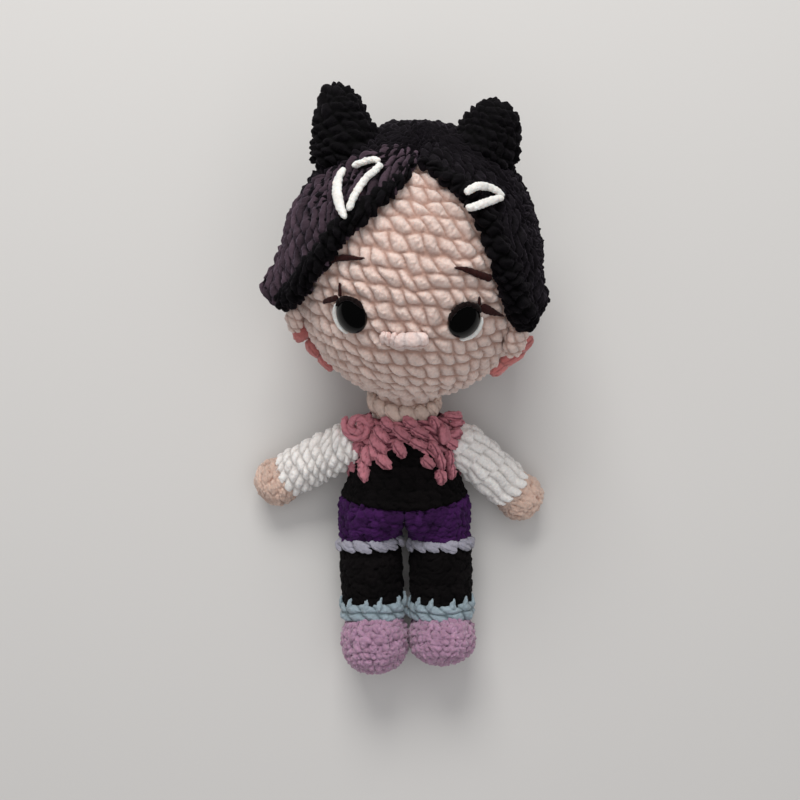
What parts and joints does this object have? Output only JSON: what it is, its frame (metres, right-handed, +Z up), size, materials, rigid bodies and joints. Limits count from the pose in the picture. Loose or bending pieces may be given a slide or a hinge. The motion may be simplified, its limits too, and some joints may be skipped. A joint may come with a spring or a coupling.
{
  "type": "amigurumi doll",
  "caption": "Stuffed crocheted chenille doll lying on its back, with a large head, hair panels, button eyes and arms and legs that bend at their seams.",
  "frame": {"origin": "under the hips, on the flat where the doll rests on its back, midway between the legs", "axes": "+X towards the doll's left side, +Y towards the top of the head, +Z up, out of the face"},
  "size_m": [0.1358, 0.2519, 0.1141],
  "materials": {
    "skin_yarn": "peach chenille yarn, crocheted",
    "hair_yarn": "near-black plum chenille yarn, crocheted",
    "coral_yarn": "coral chenille yarn, crocheted",
    "rose_yarn": "dusty rose chenille yarn, crocheted",
    "black_yarn": "black chenille yarn, crocheted",
    "purple_yarn": "deep purple chenille yarn, crocheted",
    "sleeve_yarn": "warm white chenille yarn, crocheted",
    "garter_yarn": "cool white chenille yarn, crocheted",
    "cuff_yarn": "pale blue chenille yarn, crocheted",
    "shoe_yarn": "lilac chenille yarn, crocheted",
    "dark_thread": "dark brown yarn, embroidered",
    "cream_yarn": "cream yarn, embroidered",
    "eye_plastic": "glossy black moulded plastic",
    "washer_plastic": "natural moulded plastic",
    "filling": "loose white polyester fibre"
  },
  "bodies": {
    "torso": {"yoke": "rose_yarn", "waist": "black_yarn", "shorts": "purple_yarn", "torso_stuffing": "filling", "right_rosette": "rose_yarn", "left_bobble": "rose_yarn"},
    "neck": {"neck": "skin_yarn", "neck_stuffing": "filling", "collar": "cream_yarn"},
    "head": {"head_skin": "skin_yarn", "head_stuffing": "filling", "hair_cap": "hair_yarn", "under_hair": "coral_yarn", "left_fringe": "hair_yarn", "right_fringe": "hair_yarn", "left_hair_tuft": "hair_yarn", "right_hair_tuft": "hair_yarn", "left_ear": "skin_yarn", "right_ear": "skin_yarn", "left_eye": "eye_plastic", "right_eye": "eye_plastic", "left_eye_washer": "washer_plastic", "right_eye_washer": "washer_plastic", "left_eye_white": "cream_yarn", "right_eye_white": "cream_yarn", "left_lashes": "dark_thread", "right_lashes": "dark_thread", "left_brow": "dark_thread", "right_brow": "dark_thread", "nose_stitch": "skin_yarn", "left_hair_clip": "cream_yarn", "right_hair_clip": "cream_yarn"},
    "left_shoulder": {"left_arm_root": "sleeve_yarn"},
    "left_arm": {"left_sleeve": "sleeve_yarn", "left_hand": "skin_yarn", "left_arm_stuffing": "filling"},
    "left_leg": {"left_shorts_leg": "purple_yarn", "left_garter": "garter_yarn", "left_stocking": "black_yarn", "left_cuff": "cuff_yarn", "left_shoe": "shoe_yarn", "left_leg_stuffing": "filling"},
    "right_shoulder": {"right_arm_root": "sleeve_yarn"},
    "right_arm": {"right_sleeve": "sleeve_yarn", "right_hand": "skin_yarn", "right_arm_stuffing": "filling"},
    "right_leg": {"right_shorts_leg": "purple_yarn", "right_garter": "garter_yarn", "right_stocking": "black_yarn", "right_cuff": "cuff_yarn", "right_shoe": "shoe_yarn", "right_leg_stuffing": "filling"}
  },
  "joints": [
    {"name": "neck_nod", "type": "hinge", "parent": "torso", "child": "neck", "pos_m": [-0.0004, 0.05, 0.0265], "axis": [1, 0, 0], "range_deg": [-12, 8]},
    {"name": "head_turn", "type": "hinge", "parent": "neck", "child": "head", "pos_m": [0.00081, 0.06536, 0.03368], "axis": [0.0711, 0.9035, 0.4226], "range_deg": [-30, 30]},
    {"name": "left_arm_raise", "type": "hinge", "parent": "torso", "child": "left_shoulder", "pos_m": [0.026, 0.035, 0.0265], "axis": [0, 0, 1], "range_deg": [-8, 40]},
    {"name": "left_arm_swing", "type": "hinge", "parent": "left_shoulder", "child": "left_arm", "pos_m": [0.026, 0.035, 0.0265], "axis": [-0.6691, -0.7431, 0], "range_deg": [-15, 55]},
    {"name": "left_hip_bend", "type": "hinge", "parent": "torso", "child": "left_leg", "pos_m": [0.0164, -0.001, 0.0176], "axis": [-1, 0, 0], "range_deg": [0, 50]},
    {"name": "right_arm_raise", "type": "hinge", "parent": "torso", "child": "right_shoulder", "pos_m": [-0.026, 0.035, 0.0265], "axis": [0, 0, -1], "range_deg": [-8, 40]},
    {"name": "right_arm_swing", "type": "hinge", "parent": "right_shoulder", "child": "right_arm", "pos_m": [-0.026, 0.035, 0.0265], "axis": [-0.4848, 0.8746, 0], "range_deg": [-15, 55]},
    {"name": "right_hip_bend", "type": "hinge", "parent": "torso", "child": "right_leg", "pos_m": [-0.0164, -0.001, 0.0176], "axis": [-1, 0, 0], "range_deg": [0, 50]}
  ]
}
